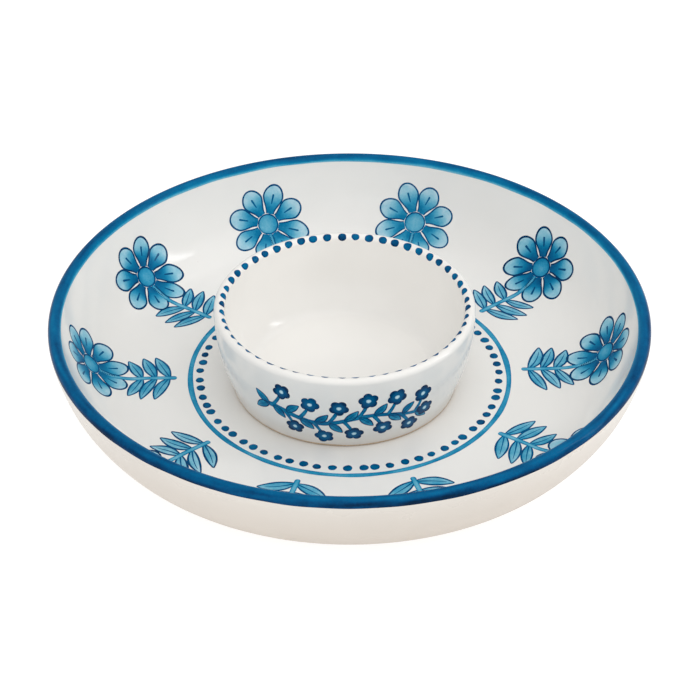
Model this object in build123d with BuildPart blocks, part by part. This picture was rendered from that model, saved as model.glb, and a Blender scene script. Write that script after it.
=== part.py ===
from build123d import *
import os

# Chip and dip server: a wide low stoneware serving bowl with a loose dip bowl
# standing on its flat floor.  Both pieces are thrown round shapes, so each is one
# closed profile revolved about its own vertical axis.
# Frame: millimetres, +Z up, origin at the centre of the serving bowl's foot plane.

# ---- serving bowl -------------------------------------------------------------
BOWL_R = 165.0          # outside radius at the lip
LIP_R = 3.7             # half the rolled lip's thickness
LIP_Z = 49.0            # height of the lip's centre of curvature
FLOOR_Z = 8.0           # top of the flat floor
FLOOR_R = 119.0         # radius where the floor starts to turn up
FOOT_R = 119.0          # outside radius of the foot ring
FOOT_W = 5.0            # width of the foot ring
FOOT_H = 2.4            # height of the foot ring
UNDER_R = 124.0         # radius where the underside starts to turn up

# points on the outside wall, from the underside up to the lip
BOWL_OUT = [(133.0, 3.0), (140.0, 4.9), (146.2, 8.9), (152.6, 16.5),
            (158.7, 26.9), (163.0, 39.0)]
# points on the inside wall, from the lip down to the floor
BOWL_IN = [(156.2, 44.0), (153.4, 36.0), (149.2, 27.0), (144.0, 19.2),
           (138.5, 14.0), (133.0, 10.8), (127.0, 8.9)]

# ---- dip bowl -----------------------------------------------------------------
DIP_X, DIP_Y = -2.7, -3.0   # where the loose bowl stands on the floor
DIP_GAP = 0.02              # clearance under its foot
DIP_R = 71.7                # outside radius at the lip
DIP_LIP_R = 3.0
DIP_LIP_Z = 47.8            # above the dip bowl's own foot plane
DIP_FLOOR_Z = 7.0
DIP_FLOOR_R = 47.0
DIP_FOOT_R = 62.1           # the wall runs straight down into the foot
DIP_FOOT_W = 6.0
DIP_FOOT_H = 1.8

DIP_OUT = [(63.0, 4.4), (64.9, 10.0), (67.5, 18.0), (69.8, 28.0), (71.2, 38.0)]
DIP_IN = [(64.9, 38.0), (63.0, 28.0), (59.4, 19.0), (55.6, 12.6), (51.8, 8.5)]

DIP_Z = FLOOR_Z + DIP_GAP

# The serving bowl: foot ring, flat floor, curved wall, rolled lip.
with BuildPart() as serving_bowl:
    with BuildSketch(Plane.XZ) as bowl_section:
        with BuildLine() as bowl_profile:
            lip_c = BOWL_R - LIP_R
            Line((0, FOOT_H), (FOOT_R - FOOT_W, FOOT_H))
            Line((FOOT_R - FOOT_W, FOOT_H), (FOOT_R - FOOT_W, 0))
            Line((FOOT_R - FOOT_W, 0), (FOOT_R, 0))
            Line((FOOT_R, 0), (FOOT_R, FOOT_H))
            Line((FOOT_R, FOOT_H), (UNDER_R, FOOT_H))
            Spline((UNDER_R, FOOT_H), *BOWL_OUT, (BOWL_R, LIP_Z),
                   tangents=[(1, 0), (0.05, 1)])
            ThreePointArc((BOWL_R, LIP_Z), (lip_c, LIP_Z + LIP_R), (lip_c - LIP_R, LIP_Z))
            Spline((lip_c - LIP_R, LIP_Z), *BOWL_IN, (FLOOR_R, FLOOR_Z),
                   tangents=[(-0.2, -1), (-1, 0)])
            Line((FLOOR_R, FLOOR_Z), (0, FLOOR_Z))
            Line((0, FLOOR_Z), (0, FOOT_H))
        make_face()
    revolve(axis=Axis.Z)
    # soften the foot ring's four edges, as a wiped foot is
    foot_edges = (serving_bowl.edges().filter_by(GeomType.CIRCLE)
                  .filter_by(lambda e: FOOT_R - FOOT_W - 0.1 < e.radius < FOOT_R + 0.1)
                  .filter_by(lambda e: e.center().Z < 0.1))
    fillet(foot_edges, radius=1.2)

# The dip bowl: same build, smaller and steeper, standing at (DIP_X, DIP_Y).
dip_plane = Plane(origin=(DIP_X, DIP_Y, DIP_Z), x_dir=(1, 0, 0), z_dir=(0, -1, 0))
with BuildPart() as dip_bowl:
    with BuildSketch(dip_plane) as dip_section:
        with BuildLine() as dip_profile:
            dip_c = DIP_R - DIP_LIP_R
            Line((0, DIP_FOOT_H), (DIP_FOOT_R - DIP_FOOT_W, DIP_FOOT_H))
            Line((DIP_FOOT_R - DIP_FOOT_W, DIP_FOOT_H), (DIP_FOOT_R - DIP_FOOT_W, 0))
            Line((DIP_FOOT_R - DIP_FOOT_W, 0), (DIP_FOOT_R, 0))
            Line((DIP_FOOT_R, 0), (DIP_FOOT_R + 0.2, 1.3))
            Spline((DIP_FOOT_R + 0.2, 1.3), *DIP_OUT, (DIP_R, DIP_LIP_Z),
                   tangents=[(0.18, 1), (0.02, 1)])
            ThreePointArc((DIP_R, DIP_LIP_Z), (dip_c, DIP_LIP_Z + DIP_LIP_R),
                          (dip_c - DIP_LIP_R, DIP_LIP_Z))
            Spline((dip_c - DIP_LIP_R, DIP_LIP_Z), *DIP_IN, (DIP_FLOOR_R, DIP_FLOOR_Z),
                   tangents=[(-0.03, -1), (-1, 0)])
            Line((DIP_FLOOR_R, DIP_FLOOR_Z), (0, DIP_FLOOR_Z))
            Line((0, DIP_FLOOR_Z), (0, DIP_FOOT_H))
        make_face()
    revolve(axis=Axis((DIP_X, DIP_Y, DIP_Z), (0, 0, 1)))
    dip_foot_edges = (dip_bowl.edges().filter_by(GeomType.CIRCLE)
                      .filter_by(lambda e: DIP_FOOT_R - DIP_FOOT_W - 0.1 < e.radius < DIP_FOOT_R + 0.1)
                      .filter_by(lambda e: e.center().Z < DIP_Z + 0.1))
    fillet(dip_foot_edges, radius=0.8)

serving_bowl.part.label = "serving_bowl"
dip_bowl.part.label = "dip_bowl"

os.makedirs("parts", exist_ok=True)
export_step(serving_bowl.part, "parts/serving_bowl.step")
export_step(dip_bowl.part, "parts/dip_bowl.step")

for piece in (serving_bowl.part, dip_bowl.part):
    box = piece.bounding_box()
    print(piece.label, "volume mm3", round(piece.volume), "box",
          [round(v, 2) for v in (*box.min, *box.max)])
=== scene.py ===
import math

import bpy
import numpy as np
from mathutils import Matrix, Vector
from mathutils.geometry import delaunay_2d_cdt


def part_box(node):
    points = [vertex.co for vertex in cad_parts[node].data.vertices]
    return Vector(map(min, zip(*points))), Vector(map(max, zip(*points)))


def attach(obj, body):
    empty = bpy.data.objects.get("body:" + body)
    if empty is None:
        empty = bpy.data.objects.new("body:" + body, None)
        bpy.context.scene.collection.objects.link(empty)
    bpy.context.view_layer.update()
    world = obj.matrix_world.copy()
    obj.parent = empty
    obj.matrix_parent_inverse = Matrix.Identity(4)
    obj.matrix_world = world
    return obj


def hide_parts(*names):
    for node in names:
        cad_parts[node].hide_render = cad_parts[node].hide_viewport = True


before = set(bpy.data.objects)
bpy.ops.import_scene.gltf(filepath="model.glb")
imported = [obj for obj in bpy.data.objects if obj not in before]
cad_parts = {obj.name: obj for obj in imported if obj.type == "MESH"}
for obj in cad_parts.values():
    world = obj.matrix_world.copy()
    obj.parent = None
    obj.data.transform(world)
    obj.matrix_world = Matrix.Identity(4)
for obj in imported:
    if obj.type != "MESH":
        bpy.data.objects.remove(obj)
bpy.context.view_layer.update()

MM = 0.001
PI = math.pi

# ============================================================================
# Where the two bowls stand, from the CAD nodes
# ============================================================================
b_lo, b_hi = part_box("serving_bowl")
d_lo, d_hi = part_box("dip_bowl")
BOWL_C = np.array([(b_lo.x + b_hi.x) / 2, (b_lo.y + b_hi.y) / 2, b_lo.z]) / MM
DIP_C = np.array([(d_lo.x + d_hi.x) / 2, (d_lo.y + d_hi.y) / 2, d_lo.z]) / MM
BOWL_R = (b_hi.x - b_lo.x) / 2 / MM          # 165
DIP_R = (d_hi.x - d_lo.x) / 2 / MM           # 71.7


# ============================================================================
# Profile curves (millimetres): r, z from the bowl's own foot
# ============================================================================
def spline(points, t0, t1, step=0.1):
    """A clamped cubic through points, leaving along t0 and arriving along t1."""
    p = np.array(points, float)
    n = len(p)
    h = np.hypot(*np.diff(p, axis=0).T)
    a, b = np.zeros((n, n)), np.zeros((n, 2))
    a[0, 0] = a[-1, -1] = 1
    b[0] = np.array(t0) / np.hypot(*t0)
    b[-1] = np.array(t1) / np.hypot(*t1)
    for i in range(1, n - 1):
        a[i, i - 1], a[i, i], a[i, i + 1] = h[i], 2 * (h[i - 1] + h[i]), h[i - 1]
        b[i] = 3 * (h[i] * (p[i] - p[i - 1]) / h[i - 1] + h[i - 1] * (p[i + 1] - p[i]) / h[i])
    m = np.linalg.solve(a, b)
    out = []
    for i in range(n - 1):
        k = max(2, int(math.ceil(h[i] / step)))
        t = np.linspace(0, 1, k, endpoint=False)[:, None]
        out.append((2 * t**3 - 3 * t**2 + 1) * p[i] + (t**3 - 2 * t**2 + t) * h[i] * m[i]
                   + (-2 * t**3 + 3 * t**2) * p[i + 1] + (t**3 - t**2) * h[i] * m[i + 1])
    out.append(p[-1:])
    return np.vstack(out)


def arc(c, r, a0, a1, step=0.1):
    k = max(3, int(abs(math.radians(a1 - a0)) * r / step))
    t = np.radians(np.linspace(a0, a1, k))
    return np.c_[c[0] + r * np.cos(t), c[1] + r * np.sin(t)]


def rounded(corners, radii, step=0.1):
    """A polyline whose inner corners are rounded to the given radii."""
    p = [np.array(c, float) for c in corners]
    out = [p[0][None]]
    for i in range(1, len(p) - 1):
        u, v = p[i - 1] - p[i], p[i + 1] - p[i]
        u, v = u / np.hypot(*u), v / np.hypot(*v)
        half = math.acos(max(-1, min(1, float(u @ v)))) / 2
        d = radii[i - 1] / math.tan(half)
        c = p[i] + (u + v) / np.hypot(*(u + v)) * radii[i - 1] / math.sin(half)
        s, e = p[i] + u * d, p[i] + v * d
        a0 = math.atan2(*(s - c)[::-1])
        a1 = math.atan2(*(e - c)[::-1])
        while a1 - a0 > PI:
            a1 -= 2 * PI
        while a1 - a0 < -PI:
            a1 += 2 * PI
        k = max(4, int(abs(a1 - a0) * radii[i - 1] / step))
        t = np.linspace(a0, a1, k)
        out.append(np.c_[c[0] + radii[i - 1] * np.cos(t), c[1] + radii[i - 1] * np.sin(t)])
    out.append(p[-1][None])
    return np.vstack(out)


def fine(path, step=0.1):
    """The path at even steps, with repeated points dropped."""
    keep = np.r_[True, np.hypot(*np.diff(path, axis=0).T) > 1e-6]
    path = path[keep]
    s = np.r_[0, np.cumsum(np.hypot(*np.diff(path, axis=0).T))]
    t = np.linspace(0, s[-1], int(s[-1] / step) + 1)
    return np.c_[np.interp(t, s, path[:, 0]), np.interp(t, s, path[:, 1])]


class Skin:
    """A bowl's surface as s (mm along the profile from the middle of its floor, over the lip and down to the foot) and phi."""

    def __init__(self, path, centre, waves, seed):
        p = fine(path)
        self.p = p
        self.s = np.r_[0, np.cumsum(np.hypot(*np.diff(p, axis=0).T))]
        t = np.gradient(p, self.s, axis=0)
        for _ in range(3):
            t[1:-1] = (t[:-2] + 2 * t[1:-1] + t[2:]) / 4
        t /= np.hypot(*t.T)[:, None]
        self.t = t
        self.centre = centre
        rng = np.random.default_rng(seed)
        self.terms = [(rng.integers(1, 9), rng.uniform(-1, 1) * 0.06, rng.uniform(0, 2 * PI), waves * rng.uniform(0.5, 1) / (1 + i * 0.25))
                      for i in range(9)]
        self.length = self.s[-1]

    def r(self, s):
        return np.interp(s, self.s, self.p[:, 0])

    def z(self, s):
        return np.interp(s, self.s, self.p[:, 1])

    def swell(self, s, phi):
        """The hand-thrown unevenness, always a little inside the true skin, in mm."""
        d = -0.078 * np.ones(np.broadcast(s, phi).shape)
        fade = np.clip(self.r(s) / 40 - 0.3, 0, 1)
        for n, m, p, a in self.terms:
            d = d + a * fade * np.sin(n * phi + m * s + p)
        wall = np.clip((self.z(s) - 12) / 10, 0, 1) * np.clip((self.z(s).max() + 0 * s - self.z(s)) / 6, 0, 1)
        d = d + 0.0035 * wall * np.sin(s / 1.35 + 1.2 * np.sin(phi + 0.7) + 0.8 * np.sin(2 * phi))
        return np.minimum(d, -0.050)

    def at(self, s, phi, lift=0.0):
        """Positions and normals, in metres, lift mm above the glaze."""
        s, phi = np.asarray(s, float), np.asarray(phi, float)
        r, z = self.r(s), self.z(s)
        tr, tz = np.interp(s, self.s, self.t[:, 0]), np.interp(s, self.s, self.t[:, 1])
        l = np.hypot(tr, tz)
        tr, tz = tr / l, tz / l
        nr, nz = -tz, tr
        d = self.swell(s, phi)
        e = 0.05
        ds = (self.swell(s + e, phi) - self.swell(s - e, phi)) / (2 * e)
        dp = (self.swell(s, phi + 1e-3) - self.swell(s, phi - 1e-3)) / 2e-3 / np.maximum(r, 1)
        h = d + lift
        c, q = np.cos(phi), np.sin(phi)
        rr = r + nr * h
        co = np.stack([rr * c, rr * q, z + nz * h], -1) + self.centre
        n = np.stack([(nr - tr * ds) * c + q * dp, (nr - tr * ds) * q - c * dp, nz - tz * ds], -1)
        n /= np.linalg.norm(n, axis=-1, keepdims=True)
        return co * MM, n

    def find(self, part, z):
        """s where the inside (part 0) or the outside (part 1) wall is at height z."""
        top = int(np.argmax(self.p[:, 1]))
        if part == 0:
            return float(np.interp(z, self.p[:top, 1], self.s[:top]))
        return float(np.interp(-z, -self.p[top:top + int(60 / 0.1), 1], self.s[top:top + int(60 / 0.1)]))


# serving bowl: floor, inner wall, lip, outer wall, underside, foot
BOWL_PATH = np.vstack([
    [(0, 8.0)],
    spline([(119, 8.0), (127, 8.9), (133, 10.8), (138.5, 14.0), (144, 19.2), (149.2, 27), (153.4, 36), (156.2, 44), (157.67, 49.72)],
           (1, 0), (0.196, 0.98)),
    arc((161.3, 49.0), 3.7, 168.7, -2.9),
    spline([(164.995, 48.81), (163, 39), (158.7, 26.9), (152.6, 16.5), (146.2, 8.9), (140, 4.9), (133, 3.0), (124, 2.4)],
           (-0.05, -1), (-1, 0)),
    rounded([(123, 2.4), (119, 2.4), (119, 0), (114, 0), (114, 2.4), (0, 2.4)], [0.6, 1.2, 1.2, 0.6]),
])
# dip bowl: the same run
DIP_PATH = np.vstack([
    [(0, 7.0)],
    spline([(47, 7.0), (51.8, 8.5), (55.6, 12.6), (59.4, 19.0), (63.0, 28), (64.9, 38), (65.7, 47.89)], (1, 0), (0.03, 1)),
    arc((68.7, 47.8), 3.0, 178.3, -1.15),
    spline([(71.7, 47.74), (71.2, 38), (69.8, 28), (67.5, 18), (64.9, 10), (63.0, 4.4), (62.3, 1.3)], (-0.02, -1), (-0.18, -1)),
    rounded([(62.28, 1.18), (62.1, 0), (56.1, 0), (56.1, 1.8), (0, 1.8)], [0.8, 0.8, 0.5]),
])
bowl = Skin(BOWL_PATH * (BOWL_R / 165.0), BOWL_C, 0.0075, 11)
dip = Skin(DIP_PATH * (DIP_R / 71.7), DIP_C, 0.0060, 5)


# ============================================================================
# Node helpers
# ============================================================================
def lin(c):
    """sRGB 0-255 to linear."""
    o = []
    for v in c:
        v = v / 255.0
        o.append(v / 12.92 if v <= 0.04045 else ((v + 0.055) / 1.055) ** 2.4)
    return (*o, 1.0)


def new_material(name):
    m = bpy.data.materials.new(name)
    m.use_nodes = True
    nt = m.node_tree
    nt.nodes.clear()
    out = nt.nodes.new("ShaderNodeOutputMaterial")
    bs = nt.nodes.new("ShaderNodeBsdfPrincipled")
    nt.links.new(bs.outputs[0], out.inputs["Surface"])
    return m, nt, bs


def node(nt, kind, **values):
    n = nt.nodes.new(kind)
    for k, v in values.items():
        if k in n.inputs:
            n.inputs[k].default_value = v
        else:
            setattr(n, k, v)
    return n


def noise(nt, coord, scale, detail=3.0, rough=0.5, distortion=0.0):
    n = node(nt, "ShaderNodeTexNoise", Scale=scale, Detail=detail, Roughness=rough, Distortion=distortion)
    nt.links.new(coord, n.inputs["Vector"])
    return n.outputs["Fac"]


def math_node(nt, op, a, b=None, c=None):
    n = nt.nodes.new("ShaderNodeMath")
    n.operation = op
    for i, v in enumerate((a, b, c)):
        if v is None:
            continue
        if isinstance(v, (int, float)):
            n.inputs[i].default_value = v
        else:
            nt.links.new(v, n.inputs[i])
    return n.outputs[0]


def map_range(nt, v, a, b, c, d, smooth=False):
    n = nt.nodes.new("ShaderNodeMapRange")
    if smooth:
        n.interpolation_type = "SMOOTHSTEP"
    nt.links.new(v, n.inputs["Value"])
    for k, x in zip(("From Min", "From Max", "To Min", "To Max"), (a, b, c, d)):
        n.inputs[k].default_value = x
    return n.outputs[0]


def ramp(nt, fac, stops, interp="LINEAR"):
    n = nt.nodes.new("ShaderNodeValToRGB")
    n.color_ramp.interpolation = interp
    e = n.color_ramp.elements
    while len(e) > 1:
        e.remove(e[-1])
    e[0].position, e[0].color = stops[0]
    for p, c in stops[1:]:
        x = e.new(p)
        x.color = c
    nt.links.new(fac, n.inputs["Fac"])
    return n.outputs["Color"]


# ============================================================================
# Materials
# ============================================================================
def glaze_material(name, foot_z, warm):
    """Glossy off-white glaze over stoneware: slow colour drift, faint specks, soft orange-peel; low on the outside (the
    mesh's tone attribute) softer in sheen and darker and warmer in colour, partly the glaze thinning there and partly
    painted shade; bare clay where the foot is wiped.
    """
    m, nt, bs = new_material(name)
    tc = node(nt, "ShaderNodeTexCoord")
    pos = tc.outputs["Object"]
    drift = noise(nt, pos, 14.0, 3.0, 0.55)
    base = ramp(nt, drift, [(0.30, lin(warm[0])), (0.50, lin(warm[1])), (0.72, lin(warm[2]))])
    # tiny iron specks in the body, seen through the glaze
    sp = node(nt, "ShaderNodeTexVoronoi", Scale=190.0)
    nt.links.new(pos, sp.inputs["Vector"])
    cell = node(nt, "ShaderNodeSeparateColor")
    nt.links.new(sp.outputs["Color"], cell.inputs[0])
    chosen = math_node(nt, "GREATER_THAN", cell.outputs[0], 0.975)
    near = map_range(nt, sp.outputs["Distance"], 0.02, 0.085, 1.0, 0.0, True)
    speck = math_node(nt, "MULTIPLY", math_node(nt, "MULTIPLY", chosen, near), 0.22)
    mix = node(nt, "ShaderNodeMix", data_type="RGBA")
    nt.links.new(speck, mix.inputs["Factor"])
    nt.links.new(base, mix.inputs[6])
    mix.inputs[7].default_value = lin((150, 128, 104))
    # the tone attribute: thinner glaze low on the outside, and painted shade there
    glaze_thin_and_shade = node(nt, "ShaderNodeAttribute", attribute_name="tone")
    # painted shade: the base colour is multiplied darker and warmer low on the outside wall, strongest near the foot,
    # partly standing for the thinner glaze there
    thin_glaze_and_shade_mix = node(nt, "ShaderNodeMix", data_type="RGBA", blend_type="MULTIPLY")
    nt.links.new(glaze_thin_and_shade.outputs["Fac"], thin_glaze_and_shade_mix.inputs["Factor"])
    nt.links.new(mix.outputs[2], thin_glaze_and_shade_mix.inputs[6])
    thin_glaze_and_shade_mix.inputs[7].default_value = (0.570, 0.500, 0.430, 1)
    # wiped foot: bare clay below foot_z, with an uneven edge
    sep = node(nt, "ShaderNodeSeparateXYZ")
    nt.links.new(pos, sep.inputs[0])
    edge = noise(nt, pos, 130.0, 2.0)
    lim = math_node(nt, "ADD", math_node(nt, "MULTIPLY", edge, 0.0006), foot_z)
    bare = math_node(nt, "LESS_THAN", sep.outputs["Z"], lim)
    clay_n = noise(nt, pos, 900.0, 4.0, 0.65)
    clay = ramp(nt, clay_n, [(0.35, lin((184, 158, 130))), (0.65, lin((206, 184, 158)))])
    mix2 = node(nt, "ShaderNodeMix", data_type="RGBA")
    nt.links.new(bare, mix2.inputs["Factor"])
    nt.links.new(thin_glaze_and_shade_mix.outputs[2], mix2.inputs[6])
    nt.links.new(clay, mix2.inputs[7])
    nt.links.new(mix2.outputs[2], bs.inputs["Base Color"])
    # gloss: a hair of variation, matt on the clay
    rn = noise(nt, pos, 55.0, 4.0, 0.6)
    gloss = math_node(nt, "MULTIPLY_ADD", glaze_thin_and_shade.outputs["Fac"], 0.30, map_range(nt, rn, 0.3, 0.7, 0.085, 0.15))
    rough = node(nt, "ShaderNodeMix", data_type="FLOAT")
    nt.links.new(bare, rough.inputs["Factor"])
    nt.links.new(gloss, rough.inputs[2])
    rough.inputs[3].default_value = 0.85
    nt.links.new(rough.outputs[0], bs.inputs["Roughness"])
    bs.inputs["IOR"].default_value = 1.5
    bs.inputs["Specular IOR Level"].default_value = 0.42
    bs.inputs["Subsurface Weight"].default_value = 0.0
    # orange peel and the clay's grain
    peel = noise(nt, pos, 260.0, 2.0, 0.4)
    grain = math_node(nt, "MULTIPLY", math_node(nt, "MULTIPLY", clay_n, bare), 6.0)
    height = math_node(nt, "ADD", peel, grain)
    bump = node(nt, "ShaderNodeBump", Strength=0.10, Distance=0.00006)
    nt.links.new(height, bump.inputs["Height"])
    nt.links.new(bump.outputs[0], bs.inputs["Normal"])
    return m


PAINT = [
    (0.00, (222, 236, 240)),
    (0.12, (188, 217, 229)),
    (0.25, (142, 198, 217)),
    (0.38, (98, 175, 202)),
    (0.50, (50, 150, 188)),
    (0.62, (4, 120, 164)),
    (0.74, (0, 97, 144)),
    (0.85, (0, 75, 121)),
    (0.93, (0, 52, 92)),
    (1.00, (2, 34, 62)),
]


def paint_material(name, blotch=0.085, fine_amount=0.075):
    """Cobalt brushwork under the glaze. The mesh's tone attribute runs from pale wash (0) to ink (1); noise breaks it
    up as pooled pigment.
    """
    m, nt, bs = new_material(name)
    tc = node(nt, "ShaderNodeTexCoord")
    pos = tc.outputs["Object"]
    at = node(nt, "ShaderNodeAttribute", attribute_name="tone")
    n1 = noise(nt, pos, 170.0, 3.0, 0.55)
    n2 = noise(nt, pos, 800.0, 3.0, 0.6)
    a = math_node(nt, "MULTIPLY", math_node(nt, "SUBTRACT", n1, 0.5), blotch * 2)
    b = math_node(nt, "MULTIPLY", math_node(nt, "SUBTRACT", n2, 0.5), fine_amount * 2)
    t = math_node(nt, "ADD", at.outputs["Fac"], math_node(nt, "ADD", a, b))
    col = ramp(nt, t, [(p, lin(c)) for p, c in PAINT])
    nt.links.new(col, bs.inputs["Base Color"])
    rn = noise(nt, pos, 55.0, 4.0, 0.6)
    nt.links.new(map_range(nt, rn, 0.3, 0.7, 0.09, 0.16), bs.inputs["Roughness"])
    bs.inputs["IOR"].default_value = 1.5
    bs.inputs["Specular IOR Level"].default_value = 0.05
    peel = noise(nt, pos, 260.0, 2.0, 0.4)
    bump = node(nt, "ShaderNodeBump", Strength=0.10, Distance=0.00006)
    nt.links.new(peel, bump.inputs["Height"])
    nt.links.new(bump.outputs[0], bs.inputs["Normal"])
    return m


WHITE = ((243, 241, 237), (241, 239, 235), (238, 236, 232))
glaze_bowl = glaze_material("serving_bowl_glaze_mat", b_lo.z + 0.0006, WHITE)
glaze_dip = glaze_material("dip_bowl_glaze_mat", d_lo.z + 0.0011, WHITE)
paint = paint_material("cobalt_paint_mat")
paint_band = paint_material("cobalt_band_mat", 0.06, 0.05)


# ============================================================================
# The two bowls
# ============================================================================
def mesh_object(name, co, faces, normals, mat, tone=None):
    me = bpy.data.meshes.new(name)
    me.from_pydata(co.tolist(), [], faces)
    me.validate(clean_customdata=False)
    me.update()
    me.shade_smooth()
    if tone is not None:
        a = me.attributes.new("tone", "FLOAT", "POINT")
        a.data.foreach_set("value", np.clip(np.asarray(tone, np.float32), 0, 1))
    me.materials.append(mat)
    me.normals_split_custom_set_from_vertices(normals.tolist())
    o = bpy.data.objects.new(name, me)
    bpy.context.scene.collection.objects.link(o)
    return o


def rows(skin, tol=0.004, lo=0.3, hi=4.5):
    """Row positions along the profile, closer together where it bends."""
    ang = np.unwrap(np.arctan2(skin.t[:, 1], skin.t[:, 0]))
    k = np.abs(np.gradient(ang, skin.s))
    k = np.convolve(np.r_[[k[0]] * 8, k, [k[-1]] * 8], np.ones(17) / 17, "valid")
    step = np.clip(np.sqrt(8 * tol / np.maximum(k, 1e-6)), lo, hi)
    # no sudden jumps between coarse and fine rows
    for i in range(1, len(step)):
        step[i] = min(step[i], step[i - 1] + 0.06)
    for i in range(len(step) - 2, -1, -1):
        step[i] = min(step[i], step[i + 1] + 0.06)
    q = np.r_[0, np.cumsum(np.diff(skin.s) / ((step[1:] + step[:-1]) / 2))]
    n = int(q[-1])
    return np.interp(np.linspace(0, q[-1], n + 1), q, skin.s)


def revolve(skin, name, segs, mat, glaze_thin_and_shade):
    s = rows(skin)
    s = s[1:-1]
    phi = np.linspace(0, 2 * PI, segs, endpoint=False)
    ss, pp = np.meshgrid(s, phi, indexing="ij")
    co, nn = skin.at(ss, pp)
    n = len(s)
    first, n0 = skin.at(np.array([0.0]), np.array([0.0]))
    last, n1 = skin.at(np.array([skin.length]), np.array([0.0]))
    verts = np.vstack([co.reshape(-1, 3), first, last])
    norms = np.vstack([nn.reshape(-1, 3), [(0, 0, 1)], [(0, 0, -1)]])
    faces = []
    for i in range(n - 1):
        a, b = i * segs, (i + 1) * segs
        for j in range(segs):
            k = (j + 1) % segs
            faces.append((a + j, b + j, b + k, a + k))
    top, bot = n * segs, n * segs + 1
    for j in range(segs):
        k = (j + 1) % segs
        faces.append((top, j, k))
        faces.append((bot, (n - 1) * segs + k, (n - 1) * segs + j))
    print(name, "rows", n, "faces", len(faces))
    top_s = skin.s[int(np.argmax(skin.p[:, 1]))]
    # painted shade with thinner glaze: how much the outside wall is darkened at each height, from the given table,
    # stored in the tone attribute
    low = np.where(ss > top_s, 1.0, 0.0) * np.interp(skin.z(ss), glaze_thin_and_shade[0], glaze_thin_and_shade[1])
    return mesh_object(name, verts, faces, norms, mat, np.r_[low.ravel(), 0.0, 0.6])


# the height tables give how strongly each outside wall is darkened by painted shade and thinner glaze
serving = revolve(bowl, "serving_bowl_glazed", 384, glaze_bowl, ([2, 12, 26, 44, 50, 52], [1.0, 0.92, 0.74, 0.55, 0.42, 0.0]))
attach(serving, "serving_bowl")
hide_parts("serving_bowl")
dipping = revolve(dip, "dip_bowl_glazed", 288, glaze_dip, ([0, 4, 14, 46], [0.50, 0.30, 0.05, 0.0]))
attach(dipping, "dip_bowl")
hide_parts("dip_bowl")


# ============================================================================
# Brushwork: flat shapes in (u, v) millimetres, laid on a bowl's skin
# ============================================================================
def curve(points, n=None, step=0.6):
    """A smooth open curve through points, evenly sampled (centripetal Catmull-Rom)."""
    p = np.array(points, float)
    if len(p) == 2:
        dense = np.linspace(p[0], p[1], 24)
    else:
        q = np.vstack([2 * p[0] - p[1], p, 2 * p[-1] - p[-2]])
        dense = []
        for i in range(1, len(q) - 2):
            a, b, c, d = q[i - 1:i + 3]
            t1 = max(np.hypot(*(b - a)), 1e-6) ** 0.5
            t2 = t1 + max(np.hypot(*(c - b)), 1e-6) ** 0.5
            t3 = t2 + max(np.hypot(*(d - c)), 1e-6) ** 0.5
            t = np.linspace(t1, t2, 16, endpoint=(i == len(q) - 3))[:, None]
            a1 = (t1 - t) / t1 * a + t / t1 * b
            a2 = (t2 - t) / (t2 - t1) * b + (t - t1) / (t2 - t1) * c
            a3 = (t3 - t) / (t3 - t2) * c + (t - t2) / (t3 - t2) * d
            b1 = (t2 - t) / t2 * a1 + t / t2 * a2
            b2 = (t3 - t) / (t3 - t1) * a2 + (t - t1) / (t3 - t1) * a3
            dense.append((t2 - t) / (t2 - t1) * b1 + (t - t1) / (t2 - t1) * b2)
        dense = np.vstack(dense)
    s = np.r_[0, np.cumsum(np.hypot(*np.diff(dense, axis=0).T))]
    if n is None:
        n = max(4, int(math.ceil(s[-1] / step)) + 1)
    t = np.linspace(0, s[-1], n)
    return np.c_[np.interp(t, s, dense[:, 0]), np.interp(t, s, dense[:, 1])]


def normals_2d(p):
    t = np.gradient(p, axis=0)
    t /= np.maximum(np.hypot(*t.T), 1e-9)[:, None]
    return np.c_[-t[:, 1], t[:, 0]]


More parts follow.
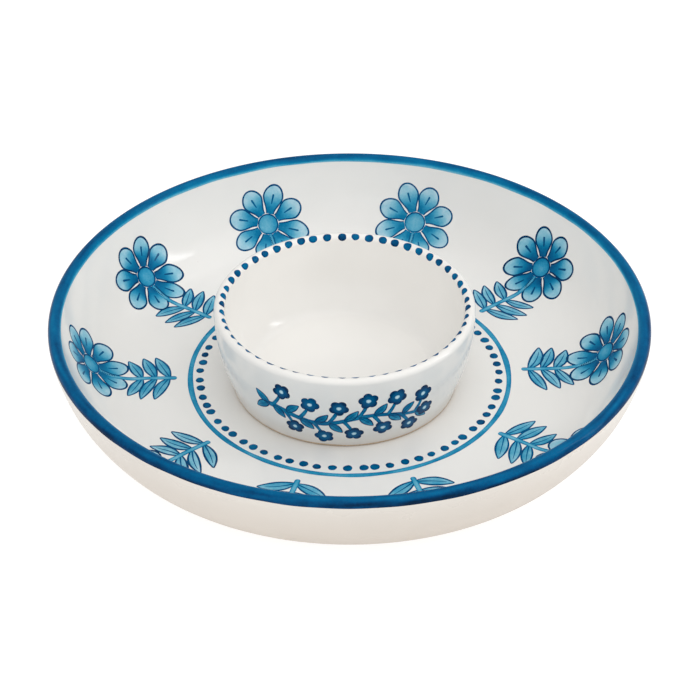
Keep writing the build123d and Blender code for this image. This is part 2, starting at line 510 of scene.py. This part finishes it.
class Brush:
    """Collects painted shapes for one piece. place(uv) gives (s, phi) on the skin."""

    def __init__(self, skin, place, seed=0):
        self.skin, self.place = skin, place
        self.uv, self.lift, self.tone, self.faces = [], [], [], []
        self.count = 0
        self.order = 0
        self.rng = np.random.default_rng(seed)

    def add(self, uv, tone, faces, lift):
        uv = np.asarray(uv, float)
        self.order += 1
        self.uv.append(uv)
        self.lift.append(np.full(len(uv), lift + (self.order % 40) * 0.0002))
        self.tone.append(np.broadcast_to(np.asarray(tone, float), (len(uv),)).copy())
        self.faces += [tuple(int(i) + self.count for i in f) for f in faces]
        self.count += len(uv)

    def grid(self, left, right, tone, lift, across=5):
        """A strip between two polylines of the same length; tone(t, x) with t along and x across, both 0 to 1."""
        n = len(left)
        x = np.linspace(0, 1, across)
        t = np.linspace(0, 1, n)
        uv = left[:, None] * (1 - x)[None, :, None] + right[:, None] * x[None, :, None]
        tt, xx = np.meshgrid(t, x, indexing="ij")
        tn = tone(tt, xx) if callable(tone) else np.full(tt.shape, tone)
        faces = []
        for i in range(n - 1):
            for j in range(across - 1):
                a = i * across + j
                faces.append((a, a + 1, a + across + 1, a + across))
        self.add(uv.reshape(-1, 2), tn.reshape(-1), faces, lift)

    def stroke(self, pts, width, tone=0.9, lift=0.05, across=3, blunt=(1, 1), step=0.6, jitter=0.0, smooth=True):
        """A brush line. width is the half width in mm, a number or a function of t. blunt: rounded ends (1) or ends
        left at the given width (0).
        """
        p = curve(pts, step=step) if smooth else np.array(pts, float)
        n = len(p)
        s = np.r_[0, np.cumsum(np.hypot(*np.diff(p, axis=0).T))]
        t = s / s[-1]
        w = width(t) if callable(width) else np.full(n, float(width))
        if jitter:
            ph = self.rng.uniform(0, 6.28, 3)
            w = w * (1 + jitter * (np.sin(s / 1.7 + ph[0]) * 0.5 + np.sin(s / 0.9 + ph[1]) * 0.3 + np.sin(s / 3.9 + ph[2]) * 0.6))
        # add close points at the ends for rounded caps
        ends = [0.06, 0.2, 0.45]
        wa, wb = max(w[0], 0.12), max(w[-1], 0.12)
        extra = [e * wa for e in ends] + [s[-1] - e * wb for e in ends]
        ks = np.unique(np.r_[s, np.clip(extra, 0, s[-1])])
        ks = ks[np.r_[True, np.diff(ks) > 1e-4]]
        p = np.c_[np.interp(ks, s, p[:, 0]), np.interp(ks, s, p[:, 1])]
        w = np.interp(ks, s, w)
        if blunt[0]:
            x = np.clip(ks / wa, 0, 1)
            w = w * np.sqrt(np.clip(1 - (1 - x) ** 2, 0.0, 1))
        if blunt[1]:
            x = np.clip((s[-1] - ks) / wb, 0, 1)
            w = w * np.sqrt(np.clip(1 - (1 - x) ** 2, 0.0, 1))
        w = np.maximum(w, 0.015)
        nn = normals_2d(p)
        self.grid(p - nn * w[:, None], p + nn * w[:, None], tone, lift, across)

    def disc(self, c, r, tone, lift, n=22, rings=3, wobble=0.05, squash=1.0, turn=0.0):
        """A filled blob. tone(q, a) with q 0 in the middle to 1 at the edge."""
        ph = self.rng.uniform(0, 6.28, 3)
        a = np.linspace(0, 2 * PI, n, endpoint=False)
        rad = r * (1 + wobble * (0.6 * np.sin(2 * a + ph[0]) + 0.5 * np.sin(3 * a + ph[1]) + 0.3 * np.sin(5 * a + ph[2])))
        uv, tn = [np.zeros((1, 2))], [np.array([0.0])]
        an = [np.array([0.0])]
        for k in range(1, rings + 1):
            q = (k / rings) ** 0.8
            uv.append(np.c_[rad * q * np.cos(a), rad * q * np.sin(a) * squash])
            tn.append(np.full(n, q))
            an.append(a)
        uv, q, an = np.vstack(uv), np.concatenate(tn), np.concatenate(an)
        ct, st = math.cos(turn), math.sin(turn)
        uv = np.c_[uv[:, 0] * ct - uv[:, 1] * st, uv[:, 0] * st + uv[:, 1] * ct] + np.array(c)
        tone_v = tone(q, an) if callable(tone) else tone
        faces = [(0, 1 + j, 1 + (j + 1) % n) for j in range(n)]
        for k in range(rings - 1):
            o0, o1 = 1 + k * n, 1 + (k + 1) * n
            faces += [(o0 + j, o1 + j, o1 + (j + 1) % n, o0 + (j + 1) % n) for j in range(n)]
        self.add(uv, tone_v, faces, lift)

    def fill(self, outline, tone, lift, spacing=1.1):
        """A filled outline of any shape; tone(uv) per point."""
        o = np.array(outline, float)
        lo, hi = o.min(0), o.max(0)
        gx, gy = np.meshgrid(np.arange(lo[0] + spacing / 2, hi[0], spacing), np.arange(lo[1] + spacing / 2, hi[1], spacing))
        g = np.c_[gx.ravel(), gy.ravel()]
        e = np.roll(o, -1, 0)
        inside = np.zeros(len(g), bool)
        dist = np.full(len(g), 1e9)
        for a, b in zip(o, e):
            cond = (a[1] > g[:, 1]) != (b[1] > g[:, 1])
            if abs(b[1] - a[1]) > 1e-12:
                x = (b[0] - a[0]) * (g[:, 1] - a[1]) / (b[1] - a[1]) + a[0]
                inside ^= cond & (g[:, 0] < x)
            ab = b - a
            t = np.clip(((g - a) @ ab) / max(ab @ ab, 1e-12), 0, 1)
            dist = np.minimum(dist, np.hypot(*(g - a - t[:, None] * ab).T))
        g = g[inside & (dist > spacing * 0.3)]
        pts = np.vstack([o, g])
        res = delaunay_2d_cdt([Vector(p) for p in pts], [], [list(range(len(o)))], 1, 1e-7)
        v = np.array([(q[0], q[1]) for q in res[0]])
        self.add(v, tone(v) if callable(tone) else tone, [tuple(f) for f in res[2]], lift)

    def build(self, name, mat, body):
        uv = np.vstack(self.uv)
        lift = np.concatenate(self.lift)
        tone = np.concatenate(self.tone)
        s, phi = self.place(uv[:, 0], uv[:, 1])
        co, n = self.skin.at(s, phi, lift)
        # wind every face to look out of the glaze
        faces = []
        for f in self.faces:
            a, b, c = co[f[0]], co[f[1]], co[f[2]]
            if len(f) == 4 and np.linalg.norm(np.cross(b - a, c - a)) < 1e-16:
                b = co[f[3]]
                g = np.cross(c - a, b - a)
            else:
                g = np.cross(b - a, c - a)
            faces.append(f if g @ n[f[0]] >= 0 else f[::-1])
        o = mesh_object(name, co, faces, n, mat, tone)
        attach(o, body)
        print(name, len(faces))
        return o


def on_wall(skin, phi0, s0):
    """u mm across, v mm outward from s0, at azimuth phi0."""
    def place(u, v):
        s = s0 + v
        return s, phi0 + u / np.maximum(skin.r(s), 5)
    return place


def ripple(seed, n=7, lo=1, hi=24):
    """A periodic wobble of azimuth and a second coordinate, about -1 to 1."""
    g = np.random.default_rng(seed)
    terms = [(int(g.integers(lo, hi)), g.uniform(0, 2 * PI), g.uniform(-1.5, 1.5), g.uniform(0.4, 1)) for _ in range(n)]
    tot = sum(t[3] for t in terms) * 0.6

    def f(phi, x=0.0):
        return sum(a * np.sin(k * phi + p + m * x) for k, p, m, a in terms) / tot
    return f


# ---------------------------------------------------------------------------
# The rim band: one loaded brush round the lip, darker outside, brighter inside
# ---------------------------------------------------------------------------
def rim_band():
    s_in = bowl.find(0, 49.5)
    s_out = bowl.find(1, 48.7)
    n, m = 1080, 27
    phi = np.linspace(0, 2 * PI, n, endpoint=False)
    x = np.linspace(0, 1, m)
    e0, e1 = ripple(3, 8, 2, 30), ripple(4, 8, 2, 40)
    a0 = s_in + 0.28 * e0(phi)
    a1 = s_out + 0.22 * e1(phi)
    ss = a0[:, None] * (1 - x) + a1[:, None] * x
    pp = np.repeat(phi[:, None], m, 1)
    co, nn = bowl.at(ss, pp, 0.034)
    base = np.interp(x, [0, 0.03, 0.06, 0.09, 0.13, 0.22, 0.42, 0.58, 0.72, 0.88, 1.0],
                     [0.34, 0.38, 0.43, 0.50, 0.61, 0.73, 0.80, 0.77, 0.84, 0.93, 0.96])
    tone = np.repeat(base[None], n, 0)
    for i, (amp, f) in enumerate(((0.055, 9), (0.045, 23), (0.03, 60))):
        r1 = ripple(20 + i, 9, max(1, f // 3), f)
        tone = tone + amp * r1(pp, x[None] * (9 + 4 * i))
    tone = tone.reshape(-1)
    faces = []
    for i in range(n):
        k = (i + 1) % n
        for j in range(m - 1):
            faces.append((i * m + j, i * m + j + 1, k * m + j + 1, k * m + j))
    o = mesh_object("rim_band_blue", co.reshape(-1, 3), faces, nn.reshape(-1, 3), paint_band, tone)
    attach(o, "serving_bowl")


rim_band()


# ---------------------------------------------------------------------------
# The floor ring: a turned line, then a ring of dots inside it
# ---------------------------------------------------------------------------
def floor_ring():
    n, m = 720, 7
    phi = np.linspace(0, 2 * PI, n, endpoint=False)
    x = np.linspace(0, 1, m)
    w = 1.45 + 0.20 * ripple(31, 8, 2, 26)(phi)
    mid = 89.15 + 0.22 * ripple(32, 6, 1, 9)(phi)
    ss = mid[:, None] + w[:, None] * (2 * x - 1)[None]
    pp = np.repeat(phi[:, None], m, 1)
    co, nn = bowl.at(ss, pp, 0.040)
    tone = 0.52 + 0.08 * np.abs(2 * x - 1)[None] ** 3 + 0.08 * ripple(33, 9, 3, 40)(pp, x[None] * 3)
    faces = []
    for i in range(n):
        k = (i + 1) % n
        for j in range(m - 1):
            faces.append((i * m + j, i * m + j + 1, k * m + j + 1, k * m + j))
    o = mesh_object("floor_ring_line", co.reshape(-1, 3), faces, nn.reshape(-1, 3), paint, np.broadcast_to(tone, ss.shape).reshape(-1))
    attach(o, "serving_bowl")


floor_ring()


def dab(rng, dark):
    """Tone of one dab: pooled edge, thinner middle, one side heavier."""
    a0, k = rng.uniform(0, 2 * PI), rng.uniform(0.02, 0.07)
    mid = dark - rng.uniform(0.02, 0.12)

    def f(q, a):
        return mid + (dark - mid) * q**1.6 + k * q * np.cos(a - a0)
    return f


def floor_dots(count=67, radius=83.5):
    b = Brush(bowl, lambda u, v: (radius + v, u / radius), 41)
    r = b.rng
    for i in range(count):
        phi = 2 * PI * (i + 0.06) / count + r.uniform(-0.013, 0.013)
        b.disc((phi * radius, r.uniform(-0.35, 0.35)), 2.42 + r.uniform(-0.18, 0.18), dab(r, 0.84 + r.uniform(-0.07, 0.05)),
               0.040, n=20, rings=4, wobble=0.05, squash=r.uniform(0.88, 1.02))
    b.build("floor_ring_dots", paint, "serving_bowl")


floor_dots()


def dip_dots(count=53):
    top = float(np.interp(1, [1], [dip.s[int(np.argmax(dip.p[:, 1]))]]))
    mid = top - 3.0 * math.radians(46)
    radius = float(dip.r(np.array([mid]))[0])
    b = Brush(dip, lambda u, v: (mid - v, u / radius), 43)
    r = b.rng
    for i in range(count):
        phi = 2 * PI * (i + 0.46) / count + r.uniform(-0.010, 0.010)
        b.disc((phi * radius, r.uniform(-0.2, 0.2)), 2.42 + r.uniform(-0.16, 0.16), dab(r, 0.84 + r.uniform(-0.07, 0.06)),
               0.036, n=22, rings=6, wobble=0.05, squash=r.uniform(0.90, 1.0))
    b.build("dip_rim_dots", paint, "dip_bowl")


dip_dots()


# ---------------------------------------------------------------------------
# The flower: an eight-petalled daisy with a round eye, six leaves on a stem
# ---------------------------------------------------------------------------
def smooth(x, a, b):
    t = np.clip((x - a) / (b - a), 0, 1)
    return t * t * (3 - 2 * t)


def almond(b, base, tip, belly, tone0, ink, line, lift=0.034):
    """A plain pointed leaf: a wash, two edges and a midrib."""
    r = b.rng
    base, tip = np.array(base, float), np.array(tip, float)
    d = tip - base
    l = np.hypot(*d)
    e = d / l
    nrm = np.array([-e[1], e[0]])
    bend = r.uniform(-0.06, 0.06) * l
    t = np.linspace(0, 1, 26)
    p = base + d * t[:, None] + nrm * (bend * np.sin(PI * t))[:, None]
    w = np.maximum(belly * r.uniform(0.93, 1.07) * np.sin(PI * t**0.9) ** 0.85, 0.05)
    left, right = p - nrm * w[:, None], p + nrm * w[:, None]
    b.grid(left, right, lambda tt, xx: tone0 + 0.14 * (xx - 0.5) + 0.12 * (1 - tt) + 0.03 * np.sin(14 * tt), lift, across=9)
    for edge in (left, right):
        b.stroke(edge, lambda x: line * (0.26 + 0.20 * np.sin(PI * x)), ink, lift + 0.016, jitter=0.08)
    b.stroke(p[:-5], lambda x: line * (0.30 * (1 - x) + 0.12), ink - 0.08, lift + 0.018)


def petal(b, centre, th, r0, r1, belly, top_t, low_t, ink, line):
    """A rounded petal pointing along th, dark at its base and pale at its tip."""
    e = np.array([math.sin(th), math.cos(th)])
    nrm = np.array([-e[1], e[0]])
    t = 1 - (1 - np.linspace(0, 1, 30)) ** 1.8
    p = np.array(centre, float) + np.outer(r0 + (r1 - r0) * t, e)
    w = belly * (0.36 + 0.64 * smooth(t, 0.0, 0.62)) * np.sqrt(np.clip(1 - np.clip((t - 0.55) / 0.45, 0, 1) ** 2, 0, 1))
    w = np.maximum(w, 0.05)
    left, right = p - nrm * w[:, None], p + nrm * w[:, None]
    b.grid(left, right, lambda tt, xx: top_t + (low_t - top_t) * smooth(tt, 0.02, 0.62) + 0.03 * np.sin(9 * tt + 5 * xx), 0.040, across=11)
    b.stroke(np.vstack([left, right[::-1][1:]]), lambda x: line * (0.34 + 0.16 * np.sin(PI * x)), ink, 0.052, jitter=0.08, smooth=False)
    mid = r0 + (r1 - r0) * 0.34
    b.stroke([np.array(centre) + e * mid, np.array(centre) + e * (mid + (r1 - r0) * 0.34)],
             lambda x: line * (0.34 + 0.26 * x), ink - 0.08, 0.054, jitter=0.05)


def flower(index, phi0, s0, seed):
    """A plain eight-petalled daisy on a straight stem with three pairs of leaves."""
    b = Brush(bowl, on_wall(bowl, phi0, s0), seed)
    r = b.rng
    deep = r.uniform(0.0, 1.0)             # how loaded the brush was
    ink = 0.80 + 0.12 * deep
    line = 0.98 + 0.30 * deep              # line weight
    wash = r.uniform(0.25, 0.34)
    lean = r.uniform(-1.0, 1.0)            # the stem's slight lean
    hv = 49.5 + r.uniform(-0.6, 0.6)
    centre = np.array([0.5 * lean, hv])
    eye, out = 6.0, 24.0

    for k, v in enumerate((3.0, 10.5, 18.0)):
        for side in (-1, 1):
            long = (19.5, 19.0, 16.5)[k] + r.uniform(-0.6, 0.6)
            almond(b, (0.3 * lean, v + r.uniform(-0.4, 0.4)), (side * long, v + 9.6 + r.uniform(-0.7, 0.7)), 3.0,
                   wash + r.uniform(-0.03, 0.05), ink - 0.05, line)

    b.stroke([(0, -1.0), (0.4 * lean, 14), (-0.2 * lean, 28), (centre[0], hv - eye)], lambda x: 1.35 + 0.25 * (1 - x),
             lambda tt, xx: 0.40 + 0.34 * np.abs(2 * xx - 1) ** 2.6 + 0.05 * np.sin(tt * 22), 0.056, across=11, jitter=0.05)

    turn = r.uniform(-0.05, 0.05)
    for k in range(8):
        petal(b, centre, turn + (k + 0.5) * PI / 4 + r.uniform(-0.02, 0.02), eye + 0.4, out + r.uniform(-0.6, 0.6),
              6.1 * r.uniform(0.96, 1.03), 0.58 + 0.20 * deep, 0.16 + 0.06 * deep, ink, line)

    spot = r.uniform(0, 2 * PI)
    b.disc(centre, eye, lambda q, a: 0.34 + 0.14 * deep + 0.14 * q**2 + 0.06 * q * np.cos(a - spot), 0.058, n=40, rings=7, wobble=0.02)
    aa = np.linspace(0.2, 2 * PI + 0.3, 50)
    b.stroke(np.c_[centre[0] + (eye - 0.1) * np.cos(aa), centre[1] + (eye - 0.1) * np.sin(aa)], line * 0.44,
             lambda tt, xx: ink - 0.04 + 0.05 * np.sin(6 * tt), 0.060, jitter=0.06)
    b.build(f"flower_{index + 1:02d}", paint, "serving_bowl")


S_TIP = 97.4
spread = np.random.default_rng(77)
for k in range(10):
    flower(k, math.radians(2.0 + 36.0 * k + spread.uniform(-0.7, 0.7)), S_TIP, 100 + k)


# ---------------------------------------------------------------------------
# The dip bowl's branch: regular side twigs with small blossoms and plain leaves
# ---------------------------------------------------------------------------
def blossom(b, c, size, turn, dark):
    """Five round petals in dense blue with a pale eye."""
    r = b.rng
    a = np.linspace(0, 2 * PI, 60, endpoint=False)
    rad = size * (0.70 + 0.30 * np.abs(np.cos(5 * (a - turn) / 2)) ** 0.7)
    uv = np.c_[rad * np.cos(a), rad * np.sin(a)] + np.array(c)

    def tone(v):
        return dark - 0.12 + 0.16 * smooth(np.hypot(*(v - np.array(c)).T) / size, 0.35, 0.95)
    b.fill(uv, tone, 0.046, spacing=0.7)
    b.stroke(np.vstack([uv, uv[:2]]), 0.26, dark + 0.05, 0.048, jitter=0.2, smooth=False)
    b.disc(c, size * 0.26, lambda q, aa: 0.05 + 0.30 * q**3, 0.054, n=18, rings=3, wobble=0.08)


def twig(b, pts, w0, w1, tone=0.64, lift=0.042):
    k = b.rng.uniform(0, 6.28)
    b.stroke(pts, lambda x: w0 + (w1 - w0) * x,
             lambda tt, xx: tone + 0.18 * np.abs(2 * xx - 1) ** 2.2 + 0.05 * np.sin(tt * 15 + k), lift, across=9, jitter=0.08)


def spray(name, phi0, seed):
    # v is height above the dip bowl's foot on its outside wall, u is to the viewer's right
    top = int(np.argmax(dip.p[:, 1]))
    zz, sz = dip.p[top:top + 560, 1], dip.s[top:top + 560]

    def place(u, v):
        q = np.interp(-v, -zz, sz)
        return q, phi0 + u / dip.r(q)
    b = Brush(dip, place, seed)
    r = b.rng
    ink = 0.90
    half, step = 44.0, 8.0

    def stem(u):
        return 22.5 + 3.0 * math.sin(1.5 * PI * u / half)
    twig(b, [(u, stem(u)) for u in np.linspace(-half, half, 23)], 1.9, 1.2)
    for k in range(11):
        u = -half + 4.0 + step * k
        up = 1 if k % 2 == 0 else -1
        v = stem(u)
        c = (u + 4.5 + r.uniform(-0.5, 0.5), v + up * (12.0 if up > 0 else 11.0) + r.uniform(-0.5, 0.5))
        twig(b, [(u - 1.0, v), (u + 2.2, v + up * 5.5), c], 1.25, 0.85)
        almond(b, (u - 0.5, v), (u + 7.0 + r.uniform(-0.4, 0.4), v - up * (7.4 + r.uniform(-0.4, 0.4))), 2.2,
               0.54 + r.uniform(-0.05, 0.05), ink, 0.80)
        blossom(b, c, 5.3 * r.uniform(0.95, 1.05), r.uniform(0, 2 * PI), 0.90 + r.uniform(-0.05, 0.03))
    # a leaf pair at the cut end and a blossom at the growing end
    for side in (-1, 1):
        almond(b, (-half + 1.0, stem(-half)), (-half - 8.0, stem(-half) + side * 7.0), 2.4, 0.54, ink, 0.80)
    blossom(b, (half + 2.0, stem(half)), 5.3, 0.4, 0.92)
    b.build(name, paint, "dip_bowl")


spray("dip_spray_front", -PI / 2, 301)
spray("dip_spray_back", PI / 2, 302)


# ============================================================================
# Stage, light and camera
# ============================================================================
def stage_floor():
    me = bpy.data.meshes.new("floor")
    s = 6.0
    me.from_pydata([(-s, -s, -0.00005), (s, -s, -0.00005), (s, s, -0.00005), (-s, s, -0.00005)], [], [(0, 1, 2, 3)])
    o = bpy.data.objects.new("floor", me)
    bpy.context.scene.collection.objects.link(o)
    m, nt, bs = new_material("floor_mat")
    bs.inputs["Base Color"].default_value = (0.40, 0.40, 0.40, 1)
    bs.inputs["Roughness"].default_value = 0.9
    bs.inputs["Specular IOR Level"].default_value = 0.0
    bs.inputs["Emission Color"].default_value = (1, 1, 1, 1)
    bs.inputs["Emission Strength"].default_value = 0.78
    me.materials.append(m)


stage_floor()


def area(name, az, el, dist, size, power, target=(0, 0, 0.03), colour=(1, 1, 1), size_y=None):
    d = Vector((math.cos(math.radians(el)) * math.cos(math.radians(az)),
                math.cos(math.radians(el)) * math.sin(math.radians(az)), math.sin(math.radians(el))))
    l = bpy.data.lights.new(name, "AREA")
    l.shape = "RECTANGLE" if size_y else "SQUARE"
    l.size = size
    if size_y:
        l.size_y = size_y
    l.energy = power
    l.color = colour
    o = bpy.data.objects.new(name, l)
    o.location = Vector(target) + d * dist
    o.rotation_euler = (-d).to_track_quat("-Z", "Y").to_euler()
    bpy.context.scene.collection.objects.link(o)
    return o


area("top_softbox", 10, 66, 1.9, 2.3, 8)
area("front_soft", -110, 32, 2.3, 2.2, 5)
area("key_right", 0, 27, 1.6, 0.17, 3.2, size_y=1.0)

world = bpy.data.worlds.new("studio")
bpy.context.scene.world = world
world.use_nodes = True
wt = world.node_tree
wc = wt.nodes.new("ShaderNodeTexCoord")
ws = wt.nodes.new("ShaderNodeSeparateXYZ")
wt.links.new(wc.outputs["Generated"], ws.inputs[0])
up = map_range(wt, ws.outputs["Z"], 0.0, 1.0, 0.62, 0.86)
near = math_node(wt, "MULTIPLY_ADD", ws.outputs["Y"], -0.25, up)
wt.links.new(math_node(wt, "MULTIPLY_ADD", ws.outputs["X"], 0.0, near), wt.nodes["Background"].inputs["Strength"])
wt.nodes["Background"].inputs["Color"].default_value = (1.0, 1.0, 1.0, 1)

cam = bpy.data.cameras.new("camera")
cam.lens = 121.7
cam.sensor_width = 36.0
cam.clip_start, cam.clip_end = 0.05, 30
cam_o = bpy.data.objects.new("camera", cam)
cam_o.location = (-0.00527, -1.05868, 0.80355)
cam_o.rotation_euler = (math.radians(90 - 36.343), math.radians(0.0), math.radians(-0.298))
bpy.context.scene.collection.objects.link(cam_o)
bpy.context.scene.camera = cam_o

scene = bpy.context.scene
scene.view_settings.view_transform = "Standard"
scene.view_settings.look = "None"
scene.view_settings.exposure = 0.0
scene.view_settings.gamma = 1.0
